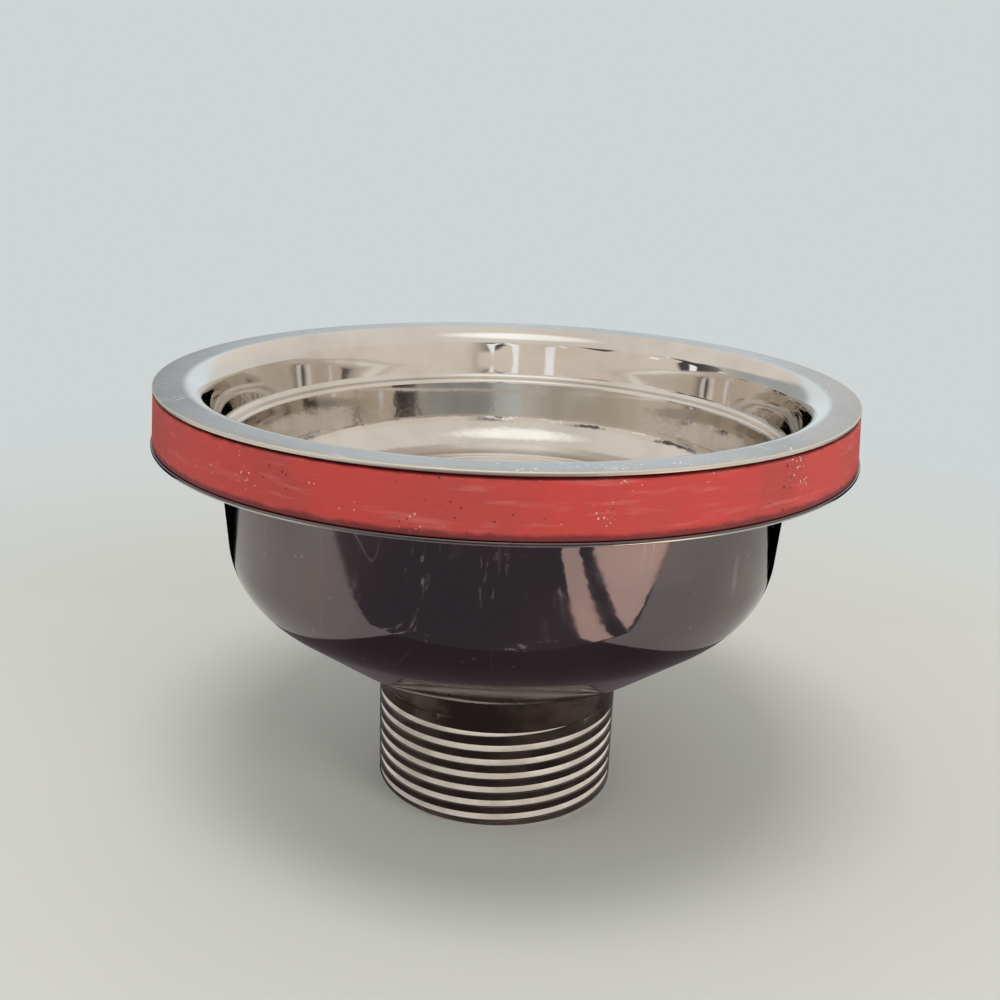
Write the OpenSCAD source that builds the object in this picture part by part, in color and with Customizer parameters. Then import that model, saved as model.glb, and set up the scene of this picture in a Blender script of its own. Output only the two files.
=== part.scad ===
// Sink waste coupling: a flanged strainer dish nested in a deep drawn cup, with a rubber
// washer between their flanges and a threaded tail under the cup.
// Millimetres, +Z up. The origin is the centre of the tail's lower end, on which it stands.

/* [Sheet metal] */
// Thickness of the strainer dish's sheet
dish_t = 0.6; // [0.4:0.1:1.0]
// Thickness of the cup's sheet
cup_t = 0.6; // [0.4:0.1:1.0]
// Clear gap between the dish and the cup that it nests in
nest_gap = 0.3; // [0.2:0.1:0.6]

/* [Flange and throat] */
// Diameter of the dish's flange
flange_d = 114.3; // [112:0.1:120]
// Width of the flange's flat rim, from its edge to where it starts to turn down
flat_w = 4.3; // [3.6:0.1:4.6]
// Inner radius of the bend from the flange into the throat
throat_r = 3.4; // [3:0.1:4]
// Depth from the flange's face to the ledge
ledge_drop = 9.8; // [9.6:0.1:13]
// How far the throat narrows between its turn and the ledge
throat_draft = 1.4; // [1:0.1:1.8]
// Inner radius of the bend at the foot of the throat
ledge_foot_r = 1.8; // [0.8:0.1:1.8]
// Inner radius of the bend at the ledge's inner edge
ledge_lip_r = 0.4; // [0.3:0.1:0.6]

/* [Basin] */
// Width of the ledge between the throat and the basin
ledge_w = 3.5; // [3.2:0.1:4]
// Depth from the flange's face to the strainer floor
basin_depth = 23.0; // [21:0.5:26]
// Radius between the basin's wall and its floor
basin_r = 7.0; // [4:0.5:8]

/* [Strainer floor] */
// Flat margin between the basin's radius and the outermost pressed ring
ring_margin = 0.4; // [0.2:0.1:1]
// Distance from one pressed ring to the next
ring_pitch = 2.0; // [1.8:0.1:2.2]
// Number of pressed rings
ring_count = 4; // [1:1:4]
// Height of a pressed ring
ring_h = 0.25; // [0.15:0.05:0.3]
// Diameter of a strainer hole
hole_d = 4.6; // [3:0.1:5]
// Radius of the innermost circle of holes
hole_first_r = 13.5; // [13:0.5:15]
// Distance from one circle of holes to the next
hole_pitch = 6.2; // [6:0.1:6.4]
// Number of circles of holes
hole_circles = 3; // [1:1:3]
// Number of holes in the innermost circle
hole_first_count = 10; // [6:1:10]
// How many more holes each further circle has
hole_count_step = 5; // [3:1:5]
// Diameter of the sunk seat for the centre screw
seat_d = 19.0; // [18.5:0.5:20]
// Depth of that seat
seat_drop = 2.0; // [1:0.1:2.5]
// Inner radius of the bends round that seat
seat_bend_r = 0.5; // [0.3:0.1:0.8]

/* [Rubber washer] */
// Thickness of the washer
washer_t = 8.4; // [7:0.1:8.8]
// How far the washer's upper edge stands out past the dish's flange
washer_over = 0.05; // [0:0.05:0.3]
// How much further out its lower edge stands
washer_taper = 0.5; // [0:0.1:1]
// Width of its lower face
washer_w = 6.9; // [6:0.1:7.2]
// Height of the bevel that clears the turn of the throat
washer_bevel_h = 1.8; // [1.6:0.1:2.4]

/* [Cup] */
// How far the cup's flange stands out past the washer
cup_flange_over = 0.15; // [0.1:0.05:0.5]
// Inner radius of the bend from the cup's flange into its stepped mouth
cup_mouth_r = 0.5; // [0.3:0.1:0.5]
// Inner radius of the bend at the foot of that step
step_foot_r = 0.3; // [0.2:0.1:0.4]
// Inner radius of the bend from that step into the wall
step_lip_r = 0.6; // [0.3:0.1:0.8]
// Height of the cup, from the outside of its bottom to its flange's upper face
cup_h = 36.7; // [35:0.5:42]
// How much the inside of the wall narrows down to the knuckle
cup_draft = 0.2; // [0:0.1:0.5]
// Inner radius of the knuckle between wall and cone
knuckle_r = 13.4; // [10:0.2:16]
// Slope of the cone, in degrees from level
cone_slope = 36.7; // [32:0.5:40]
// Width of the flat ring at the bottom, from the spigot to where the cone would meet it
cup_ring_w = 9.7; // [8.5:0.1:11]
// Inner radius of the bend between the cone and the flat ring
bottom_r = 2.4; // [1:0.2:4]

/* [Threaded tail] */
// Major diameter of the tail's thread
thread_d = 41.91; // [40:0.01:44]
// Length of the tail below the cup
tail_len = 26.9; // [24:0.1:32]
// Wall of the tail between its bore and the thread's crests
tail_wall = 2.455; // [2.3:0.005:4]
// Bevel at the end of the thread
tail_bevel = 0.7; // [0.4:0.1:1.2]
// Wall of the spigot that passes through the cup
spigot_wall = 1.1; // [0.8:0.1:1.2]
// Play between the spigot and the hole in the cup
spigot_play = 0.2; // [0.1:0.1:0.4]
// How far the rolled rim reaches over the cup's bottom
rim_reach = 2.2; // [1.5:0.1:2.4]
// Thickness of the rolled rim
rim_t = 0.8; // [0.6:0.1:1.0]
// Radius of the bore's upper edge
mouth_r = 0.7; // [0.3:0.1:0.7]

/* [Bridge and centre screw] */
// Width of the bridge strip
bridge_w = 13.0; // [11:0.5:15]
// Thickness of the bridge strip
bridge_t = 1.5; // [1.0:0.1:2.0]
// Height of the bridge's underside over the cup's bottom
bridge_rise = 9.5; // [8:0.1:10]
// Width of each foot of the bridge
foot_len = 3.2; // [2.5:0.1:3.6]
// Half length of the level crown of the bridge
crown_half = 9.0; // [8:0.5:11]
// Inner radius of the bends in the bridge
bridge_bend_r = 1.0; // [0.5:0.1:1.5]
// Shank diameter of the centre screw
screw_d = 6.0; // [5:0.5:6]
// How far the screw's tip stands out of the nut
tip_out = 0.4; // [0.2:0.2:2]
// Diameter of the screw's head
head_d = 12.0; // [11:0.5:13]
// Height of the screw's head
head_h = 3.2; // [2.6:0.1:3.6]
// Height of the upright rim below the head's dome
head_rim_h = 1.2; // [0.8:0.1:1.6]
// Bevel at the screw's tip
tip_bevel = 0.6; // [0.3:0.1:1.0]
// Width of the slot in the head
slot_w = 1.6; // [1.2:0.1:2.0]
// Depth of the slot in the head
slot_drop = 1.5; // [1.0:0.1:1.8]
// Play around the screw in the dish and the bridge
screw_play = 0.3; // [0.2:0.1:0.5]
// Play between the screw and the nut's thread
thread_play = 0.05; // [0.05:0.05:0.1]
// Width of the nut across its flats
nut_flats = 10.0; // [10:0.5:11]
// Height of the nut
nut_h = 5.0; // [4:0.1:5.5]

/* [Hidden] */

// Steps in a bend of a sheet's section, facets of a full circle and of a small hole
bend_steps = 12;
round_fn = 180;
hole_fn = 36;
// How far a cutting tool runs past the face that it cuts
over = 1;
// Points that draw one pressed ring
ring_steps = 8;

// Heights of the stack, from the tail's end upward
cup_floor_z = tail_len + cup_t;
cup_face_z = tail_len + cup_h;
top_z = cup_face_z + washer_t + dish_t;
ledge_z = top_z - ledge_drop;
floor_z = top_z - basin_depth;
seat_z = floor_z - seat_drop;
crown_z = cup_floor_z + bridge_rise;

// Radii of the dish; the throat's corner is where the lines of flange and throat would meet
throat_turn = atan2(ledge_drop, throat_draft);
flange_r = flange_d / 2;
flat_r = flange_r - flat_w;
throat_corner_r = flat_r - (throat_r + dish_t) * tan(throat_turn / 2);
ledge_out_r = throat_corner_r - throat_draft;
basin_in_r = ledge_out_r - ledge_w;
seat_r = seat_d / 2;
screw_hole_r = screw_d / 2 + screw_play;

// Radii of the washer, which follow the dish's flange
washer_top_r = flange_r + washer_over;
washer_foot_r = washer_top_r + washer_taper;
washer_bore_r = washer_foot_r - washer_w;

// Radii and heights of the cup's inside, which follow the dish
step_r = ledge_out_r + dish_t + nest_gap;
step_z = ledge_z - dish_t - nest_gap;
wall_r = basin_in_r + dish_t + nest_gap;
thread_r = thread_d / 2;
tail_bore_r = thread_r - tail_wall;
spigot_r = tail_bore_r + spigot_wall;
outlet_r = spigot_r + spigot_play;
rim_r = spigot_r + rim_reach;
cup_bottom_r = spigot_r + cup_ring_w;

// Where the cone's line meets the line of the wall
wall_foot_r = wall_r - cup_draft;
cone_inset = cup_t * tan(cone_slope / 2);
cone_top_z = cup_floor_z + (wall_foot_r - cup_bottom_r + cone_inset) * tan(cone_slope);

function unit(v) = v / norm(v);
function left_of(v) = [-v[1], v[0]];
function spun(v, a) = [v[0] * cos(a) - v[1] * sin(a), v[0] * sin(a) + v[1] * cos(a)];
function reversed(list) = [for (i = [len(list) - 1:-1:0]) list[i]];

// The arc that replaces the corner q of the path p, q, s. Its inner radius is inner_r, and a
// sheet of thickness t lies to the left of the path, so a left turn is drawn at the outer radius
function bend(p, q, s, inner_r, t) =
    let (
        a = unit(q - p),
        b = unit(s - q),
        turn = atan2(cross(a, b), a * b),
        side = sign(turn),
        r = inner_r + max(side, 0) * t,
        centre = q - a * r * tan(abs(turn) / 2) + left_of(a) * side * r
    )
    [for (k = [0:bend_steps]) centre - side * r * spun(left_of(a), turn * k / bend_steps)];

// A path of straight runs with bends at its corners, each point being [x, y, inner radius]
function bent(path, t = 0) = [
    for (i = [0:len(path) - 1])
        let (q = [path[i][0], path[i][1]], r = path[i][2])
        each (r == 0 ? [q] : bend([path[i - 1][0], path[i - 1][1]], q,
                                  [path[i + 1][0], path[i + 1][1]], r, t))
];

// The same path moved t to its left, mitred at each point
function moved_left(path, t) = [
    for (i = [0:len(path) - 1])
        let (
            before = i == 0 ? path[1] - path[0] : path[i] - path[i - 1],
            after = i == len(path) - 1 ? before : path[i + 1] - path[i],
            n1 = left_of(unit(before)),
            n2 = left_of(unit(after)),
            mid = unit(n1 + n2)
        )
        path[i] + mid * t / (mid * n1)
];

// The section of a sheet of thickness t whose visible face follows the path
function sheet(path, t) = concat(path, reversed(moved_left(path, t)));

// Pressed rings of the strainer floor, as one wave from the outermost ring inward
ring_out_r = basin_in_r - basin_r - ring_margin;
ring_points = ring_count * ring_steps;
ring_wave = [
    for (i = [0:ring_points])
        let (turns = i / ring_steps)
        [ring_out_r - turns * ring_pitch, floor_z + ring_h * (1 - cos(360 * turns)) / 2]
];

// The dish's visible face, from the flange's edge to the screw hole
dish_rim = bent([
    [flange_r, top_z, 0],
    [throat_corner_r, top_z, throat_r],
    [ledge_out_r, ledge_z, ledge_foot_r],
    [basin_in_r, ledge_z, ledge_lip_r],
    [basin_in_r, floor_z, basin_r],
    [ring_out_r, floor_z, 0]
], dish_t);
// The seat's side slopes at 45 degrees, inward from its diameter at the floor
dish_seat = bent([
    [seat_r + seat_drop, floor_z, 0],
    [seat_r, floor_z, seat_bend_r],
    [seat_r - seat_drop, seat_z, seat_bend_r],
    [screw_hole_r, seat_z, 0]
], dish_t);
// The rim's path ends where the wave starts, so its last point is left to the wave
dish_path = concat([for (i = [0:len(dish_rim) - 2]) dish_rim[i]], ring_wave, dish_seat);

// The cup's inner face, from its flange's edge to the outlet
cup_path = bent([
    [washer_foot_r + cup_flange_over, cup_face_z, 0],
    [step_r, cup_face_z, cup_mouth_r],
    [step_r, step_z, step_foot_r],
    [wall_r, step_z, step_lip_r],
    [wall_foot_r, cone_top_z, knuckle_r],
    [cup_bottom_r - cone_inset, cup_floor_z, bottom_r],
    [outlet_r, cup_floor_z, 0]
], cup_t);

// One pressed sheet with its perforated floor and the sunk seat of the screw
module strainer_dish() {
    color([0.72, 0.71, 0.70])
    difference() {
        rotate_extrude($fn = round_fn) polygon(sheet(dish_path, dish_t));
        for (circle_no = [0:hole_circles - 1]) {
            circle_r = hole_first_r + circle_no * hole_pitch;
            count = hole_first_count + circle_no * hole_count_step;
            for (i = [0:count - 1])
                rotate(360 * (i + circle_no / 2) / count)
                    translate([circle_r, 0, floor_z - dish_t - over])
                        cylinder(h = dish_t + 2 * over, d = hole_d, $fn = hole_fn);
        }
    }
}

// Moulded ring, a little wider at its foot, bevelled inside at the top for the throat's turn
module rubber_washer() {
    color([0.72, 0.28, 0.24])
    rotate_extrude($fn = round_fn)
        polygon([
            [washer_bore_r, cup_face_z],
            [washer_foot_r, cup_face_z],
            [washer_top_r, cup_face_z + washer_t],
            [flat_r, cup_face_z + washer_t],
            [washer_bore_r, cup_face_z + washer_t - washer_bevel_h]
        ]);
}

// Deep drawn cup: flange, stepped mouth, wall, knuckle, cone and flat ring round the outlet
module cup() {
    color([0.42, 0.39, 0.41])
    rotate_extrude($fn = round_fn) polygon(sheet(cup_path, cup_t));
}

// Turned tail whose spigot passes through the cup and is rolled over its bottom
module threaded_tail() {
    rim_top_z = cup_floor_z + rim_t;
    color([0.36, 0.32, 0.30])
    rotate_extrude($fn = round_fn)
        polygon(bent([
            [tail_bore_r, 0, 0],
            [thread_r - tail_bevel, 0, 0],
            [thread_r, tail_bevel, 0],
            [thread_r, tail_len, 0],
            [spigot_r, tail_len, 0],
            [spigot_r, cup_floor_z, 0],
            [rim_r, cup_floor_z, 0],
            [rim_r, rim_top_z, rim_t / 2],
            [tail_bore_r, rim_top_z, mouth_r],
            [tail_bore_r, 0, 0]
        ]));
}

// Folded strip that stands on the cup's bottom outside the rolled rim
module bridge() {
    foot_in = rim_r + spigot_play;
    foot_out = foot_in + foot_len;
    underside = bent([
        [-foot_out, cup_floor_z, 0],
        [-foot_in, cup_floor_z, bridge_bend_r],
        [-crown_half, crown_z, bridge_bend_r],
        [crown_half, crown_z, bridge_bend_r],
        [foot_in, cup_floor_z, bridge_bend_r],
        [foot_out, cup_floor_z, 0]
    ], bridge_t);
    color([0.60, 0.60, 0.60])
    difference() {
        translate([0, bridge_w / 2, 0])
            rotate([90, 0, 0])
                linear_extrude(bridge_w) polygon(sheet(underside, bridge_t));
        translate([0, 0, crown_z - over])
            cylinder(h = bridge_t + 2 * over, r = screw_hole_r, $fn = hole_fn);
    }
}

// Hexagon nut welded under the crown of the bridge
module bridge_nut() {
    color([0.66, 0.66, 0.66])
    translate([0, 0, crown_z - nut_h])
        difference() {
            cylinder(h = nut_h, d = nut_flats / cos(30), $fn = 6);
            translate([0, 0, -over])
                cylinder(h = nut_h + 2 * over, d = screw_d + 2 * thread_play, $fn = hole_fn);
        }
}

// Slotted screw that draws the dish down on the bridge
module centre_screw() {
    shank_r = screw_d / 2;
    tip_z = crown_z - nut_h - tip_out;
    color([0.75, 0.75, 0.74])
    difference() {
        rotate_extrude($fn = hole_fn * 2)
            polygon(bent([
                [0, tip_z, 0],
                [shank_r - tip_bevel, tip_z, 0],
                [shank_r, tip_z + tip_bevel, 0],
                [shank_r, seat_z, 0],
                [head_d / 2, seat_z, 0],
                [head_d / 2, seat_z + head_h, head_h - head_rim_h],
                [0, seat_z + head_h, 0]
            ]));
        translate([-head_d, -slot_w / 2, seat_z + head_h - slot_drop])
            cube([2 * head_d, slot_w, slot_drop + over]);
    }
}

strainer_dish();
rubber_washer();
cup();
threaded_tail();
bridge();
bridge_nut();
centre_screw();
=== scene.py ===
"""Looks of the sink waste coupling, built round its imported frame.

The dish, washer, cup and threaded tail are numpy surfaces of revolution with their real edges,
holes and thread. The bridge, its nut and the centre screw keep their solids and get a finish.
"""
import math

import bmesh
import bpy
import numpy as np
from bpy.props import FloatProperty, FloatVectorProperty, IntProperty, PointerProperty
from mathutils import Matrix, Vector


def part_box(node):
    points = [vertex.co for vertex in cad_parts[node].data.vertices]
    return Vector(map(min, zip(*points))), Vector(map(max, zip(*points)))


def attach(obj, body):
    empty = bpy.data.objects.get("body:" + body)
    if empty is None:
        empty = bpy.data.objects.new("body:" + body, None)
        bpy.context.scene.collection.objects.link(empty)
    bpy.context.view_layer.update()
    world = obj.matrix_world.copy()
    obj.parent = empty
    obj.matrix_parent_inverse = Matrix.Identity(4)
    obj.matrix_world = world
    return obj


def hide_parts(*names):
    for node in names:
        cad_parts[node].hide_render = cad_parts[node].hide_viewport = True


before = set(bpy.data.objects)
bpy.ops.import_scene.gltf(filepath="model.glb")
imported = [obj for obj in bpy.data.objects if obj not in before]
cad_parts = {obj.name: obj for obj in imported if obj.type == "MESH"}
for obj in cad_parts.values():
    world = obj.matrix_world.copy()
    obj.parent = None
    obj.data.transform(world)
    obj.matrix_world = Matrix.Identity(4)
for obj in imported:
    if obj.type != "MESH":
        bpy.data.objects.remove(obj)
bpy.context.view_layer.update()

bl_info = {
    "name": "Sink waste coupling",
    "version": (1, 0, 0),
    "blender": (4, 5, 0),
    "location": "3D view > Sidebar > Sink waste",
    "description": "Builds the dressed sink waste coupling round its packed frame",
    "category": "Object",
}

MM = 0.001
TURN = 2 * math.pi


# ---------------------------------------------------------------- sections and surfaces

def unit(v):
    """v at length one."""
    return v / np.linalg.norm(v)


def arc(centre, radius, start, end, steps):
    """Points on a circle from angle start to angle end, in degrees."""
    a = np.radians(np.linspace(start, end, steps + 1))
    return np.array(centre) + radius * np.stack([np.cos(a), np.sin(a)], -1)


def bent(corners, thickness=0.0, steps=14):
    """A section of straight runs whose corners are arcs tangent to both runs.

    Each corner is (radius, height, inner bend radius). A sheet of that thickness lies to the left
    of the path, so a left turn is drawn at the inner radius plus the thickness.
    """
    runs = []
    for i, (x, z, inner) in enumerate(corners):
        q = np.array([x, z])
        if inner == 0:
            runs.append(q[None])
            continue
        a = unit(q - np.array(corners[i - 1][:2]))
        b = unit(np.array(corners[i + 1][:2]) - q)
        turn = math.atan2(a[0] * b[1] - a[1] * b[0], a @ b)
        side = math.copysign(1.0, turn)
        radius = inner + max(side, 0.0) * thickness
        left = np.array([-a[1], a[0]])
        centre = q - a * radius * math.tan(abs(turn) / 2) + left * side * radius
        t = turn * np.linspace(0, 1, steps + 1)[:, None]
        spun = left * np.cos(t) + np.array([-left[1], left[0]]) * np.sin(t)
        runs.append(centre - side * radius * spun)
    return np.concatenate(runs)


def moved_left(path, distance):
    """The path moved to its left by a distance, mitred at each point."""
    d = np.diff(path, axis=0)
    n = np.stack([-d[:, 1], d[:, 0]], -1) / np.linalg.norm(d, axis=1)[:, None]
    before = np.concatenate([n[:1], n])
    after = np.concatenate([n, n[-1:]])
    mid = before + after
    mid /= np.linalg.norm(mid, axis=1)[:, None]
    return path + mid * (distance / (mid * before).sum(1))[:, None]


def split_runs(path, longest):
    """The path with its straight runs cut into equal parts no longer than a length."""
    parts = [path[:1]]
    for p, q in zip(path[:-1], path[1:]):
        count = max(1, int(math.ceil(np.linalg.norm(q - p) / longest)))
        parts.append(p + (q - p) * (np.arange(1, count + 1) / count)[:, None])
    return np.concatenate(parts)


def grid_faces(rows, columns, close_rows=False):
    """Quads of a grid of rows by columns that closes round its columns, row after row."""
    i = np.arange(rows if close_rows else rows - 1)[:, None]
    j = np.arange(columns)[None]
    up, on = (i + 1) % rows, (j + 1) % columns
    quads = np.stack([i * columns + j, i * columns + on, up * columns + on, up * columns + j], -1)
    return quads.reshape(-1, 4)


def turned(section, columns):
    """A section turned about the Z axis: x = r cos a, y = r sin a, z = h, as rows by columns."""
    a = TURN * np.arange(columns) / columns
    r, h = section[:, :1], section[:, 1:]
    return np.stack([r * np.cos(a), r * np.sin(a), h + 0 * a], -1)


def piece(name, node, patches, material, sharp=35.0):
    """Welds patches of (points in millimetres, quads) into one closed mesh that replaces a node.

    Points that fall together are merged, and a quad that lost a corner becomes a triangle.
    """
    told_apart = 1e4    # points per millimetre
    points = np.concatenate([p.reshape(-1, 3) for p, _ in patches])
    starts = np.cumsum([0] + [p.reshape(-1, 3).shape[0] for p, _ in patches[:-1]])
    quads = np.concatenate([q + s for (_, q), s in zip(patches, starts)])
    _, first, inverse = np.unique(np.round(points * told_apart).astype(np.int64), axis=0,
                                  return_index=True, return_inverse=True)
    quads = inverse.reshape(-1)[quads]
    kept = quads != np.roll(quads, 1, axis=1)
    whole = quads[kept.all(1)]
    three = kept.sum(1) == 3
    triangles = quads[three][kept[three]].reshape(-1, 3)
    mesh = bpy.data.meshes.new(name)
    mesh.from_pydata((points[first] * MM).tolist(), [], whole.tolist() + triangles.tolist())
    work = bmesh.new()
    work.from_mesh(mesh)
    bmesh.ops.recalc_face_normals(work, faces=work.faces)
    work.to_mesh(mesh)
    work.free()
    mesh.shade_smooth()
    mesh.set_sharp_from_angle(angle=math.radians(sharp))
    mesh.materials.append(material)
    obj = bpy.data.objects.new(name, mesh)
    bpy.context.scene.collection.objects.link(obj)
    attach(obj, "root")
    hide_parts(node)


# ---------------------------------------------------------------- material nodes

class Tree:
    """Adds nodes to one node tree. Each call returns the new node's first output."""

    def __init__(self, tree):
        self.tree = tree

    def fill(self, node, inputs):
        """Sets a node's inputs to values, or links them to sockets."""
        for key, value in inputs.items():
            if isinstance(value, bpy.types.NodeSocket):
                self.tree.links.new(value, node.inputs[key])
            else:
                node.inputs[key].default_value = value

    def add(self, kind, inputs=None, out=0, **settings):
        """One node with its settings and its inputs."""
        node = self.tree.nodes.new(kind)
        for key, value in settings.items():
            setattr(node, key, value)
        self.fill(node, inputs or {})
        return node.outputs[out]

    def math(self, operation, a, b=0.0, clamp=False):
        """One sum or comparison of two values."""
        return self.add("ShaderNodeMath", {0: a, 1: b}, operation=operation, use_clamp=clamp)

    def plus(self, base, mask, share):
        """base + mask * share."""
        return self.math("ADD", base, self.math("MULTIPLY", mask, share))

    def noise(self, place, scale, detail=2.0, roughness=0.5, distortion=0.0):
        """Smooth noise from 0 to 1 with a scale in waves per metre."""
        return self.add("ShaderNodeTexNoise", {"Vector": place, "Scale": scale, "Detail": detail,
                                               "Roughness": roughness, "Distortion": distortion})

    def step(self, value, low, high, bottom=0.0, top=1.0):
        """A smooth step from bottom at low to top at high."""
        return self.add("ShaderNodeMapRange",
                        {"Value": value, "From Min": low, "From Max": high,
                         "To Min": bottom, "To Max": top}, interpolation_type="SMOOTHSTEP")

    def band(self, value, low, high, soft):
        """One between low and high, nothing outside, with soft edges."""
        rise = self.step(value, low - soft, low + soft)
        fall = self.step(value, high - soft, high + soft, 1.0, 0.0)
        return self.math("MULTIPLY", rise, fall)

    def blend(self, factor, a, b):
        """Colour a where the factor is 0, colour b where it is 1.

        Inputs 6 and 7 and output 2 are the node's colour sockets.
        """
        return self.add("ShaderNodeMix", {0: factor, 6: a, 7: b}, out=2, data_type="RGBA")

    def scaled(self, place, factors):
        """A place stretched by three factors."""
        return self.add("ShaderNodeVectorMath", {0: place, 1: factors}, operation="MULTIPLY")

    def bump(self, height, distance, strength=1.0, normal=None):
        """The normal over a height, whose full range stands for a distance in metres."""
        inputs = {"Height": height, "Distance": distance, "Strength": strength}
        if normal is not None:
            inputs["Normal"] = normal
        return self.add("ShaderNodeBump", inputs)


def effect(name, inputs, outputs):
    """An empty node group with named inputs and outputs: its tree, what it is given, its end."""
    group = bpy.data.node_groups.new(name, "ShaderNodeTree")
    for label, kind, value in inputs:
        socket = group.interface.new_socket(name=label, in_out="INPUT", socket_type=kind)
        if value is not None:
            socket.default_value = value
    for label, kind in outputs:
        group.interface.new_socket(name=label, in_out="OUTPUT", socket_type=kind)
    given = group.nodes.new("NodeGroupInput").outputs
    end = group.nodes.new("NodeGroupOutput").inputs
    return Tree(group), given, end


FLOAT, VECTOR = "NodeSocketFloat", "NodeSocketVector"


def polar_effect():
    """Radius and height of a place, in millimetres."""
    t, given, end = effect("Polar place", [("Place", VECTOR, None)],
                           [("Radius", FLOAT), ("Height", FLOAT)])
    parts = t.tree.nodes.new("ShaderNodeSeparateXYZ")
    t.tree.links.new(given["Place"], parts.inputs[0])
    x, y, z = parts.outputs
    length = t.math("SQRT", t.math("ADD", t.math("MULTIPLY", x, x), t.math("MULTIPLY", y, y)))
    t.tree.links.new(t.math("DIVIDE", length, MM), end["Radius"])
    t.tree.links.new(t.math("DIVIDE", z, MM), end["Height"])
    return t.tree


def speck_effect():
    """Small scattered specks, and fine scratches that run one way, as masks from 0 to 1."""
    t, given, end = effect("Specks and scratches",
                           [("Place", VECTOR, None), ("Specks per metre", FLOAT, 900.0),
                            ("Speck size", FLOAT, 0.16), ("Scratch turn", VECTOR, (0, 0, 0)),
                            ("Scratch stretch", VECTOR, (1, 0.04, 1)),
                            ("Scratches per metre", FLOAT, 300.0), ("Scratch width", FLOAT, 0.02)],
                           [("Specks", FLOAT), ("Scratches", FLOAT)])
    dots = t.add("ShaderNodeTexVoronoi", {"Vector": given["Place"],
                                          "Scale": given["Specks per metre"]})
    rare = t.step(t.noise(given["Place"], 140.0, 3.0, 0.6), 0.50, 0.68)
    size = t.math("MULTIPLY", given["Speck size"], rare)
    t.tree.links.new(t.math("LESS_THAN", dots, size), end["Specks"])
    spun = t.add("ShaderNodeVectorRotate", {"Vector": given["Place"],
                                            "Rotation": given["Scratch turn"]},
                 rotation_type="EULER_XYZ")
    lines = t.noise(t.scaled(spun, given["Scratch stretch"]), given["Scratches per metre"], 0.0)
    near = t.math("ABSOLUTE", t.math("SUBTRACT", lines, 0.5))
    line = t.math("SUBTRACT", 1.0, t.math("DIVIDE", near, given["Scratch width"]), clamp=True)
    some = t.step(t.noise(given["Place"], 90.0, 2.0), 0.48, 0.62)
    t.tree.links.new(t.math("MULTIPLY", line, some), end["Scratches"])
    return t.tree


def mottle_effect():
    """A mask of slow stains, and the dimples and slow swells of a skin as heights."""
    t, given, end = effect("Stains and dimples",
                           [("Place", VECTOR, None), ("Stains per metre", FLOAT, 45.0),
                            ("Dimples per metre", FLOAT, 520.0)],
                           [("Stains", FLOAT), ("Dimples", FLOAT), ("Swell", FLOAT)])
    stains = t.noise(given["Place"], given["Stains per metre"], 4.0, 0.55, 0.4)
    t.tree.links.new(t.step(stains, 0.38, 0.66), end["Stains"])
    dimples = t.noise(given["Place"], given["Dimples per metre"], 1.0, 0.4)
    t.tree.links.new(dimples, end["Dimples"])
    t.tree.links.new(t.noise(given["Place"], 70.0, 1.0, 0.4), end["Swell"])
    return t.tree


def spaced(inputs):
    """Inputs under their labels, with a space for each underscore."""
    return {key.replace("_", " "): value for key, value in inputs.items()}


class Finish:
    """One material: its tree, its place on the object and the shared effects."""

    groups = {}

    def __init__(self, name, metallic, specular=None):
        self.material = bpy.data.materials.new(name)
        self.material.use_nodes = True
        tree = self.material.node_tree
        tree.nodes.clear()
        self.t = Tree(tree)
        self.shader = tree.nodes.new("ShaderNodeBsdfPrincipled")
        self.end = tree.nodes.new("ShaderNodeOutputMaterial")
        self.place = self.t.add("ShaderNodeTexCoord", out="Object")
        self.show(self.shader.outputs[0])
        self.feed(Metallic=metallic)
        if specular is not None:
            self.feed(Specular_IOR_Level=specular)

    def show(self, shader):
        """Makes a shader the material's surface."""
        self.t.tree.links.new(shader, self.end.inputs[0])

    def shared(self, name, **inputs):
        """The outputs of one shared effect placed in this material."""
        if name not in Finish.groups:
            Finish.groups[name] = {"Polar place": polar_effect,
                                   "Specks and scratches": speck_effect,
                                   "Stains and dimples": mottle_effect}[name]()
        node = self.t.tree.nodes.new("ShaderNodeGroup")
        node.node_tree = Finish.groups[name]
        self.t.fill(node, {"Place": self.place, **spaced(inputs)})
        return list(node.outputs)

    def feed(self, **inputs):
        """Links or sets the shader's own inputs."""
        self.t.fill(self.shader, spaced(inputs))


def opaque(colour):
    """A colour with its alpha."""
    return tuple(colour) + (1.0,)


def grey(value):
    """A neutral colour."""
    return (value, value, value, 1.0)


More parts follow.
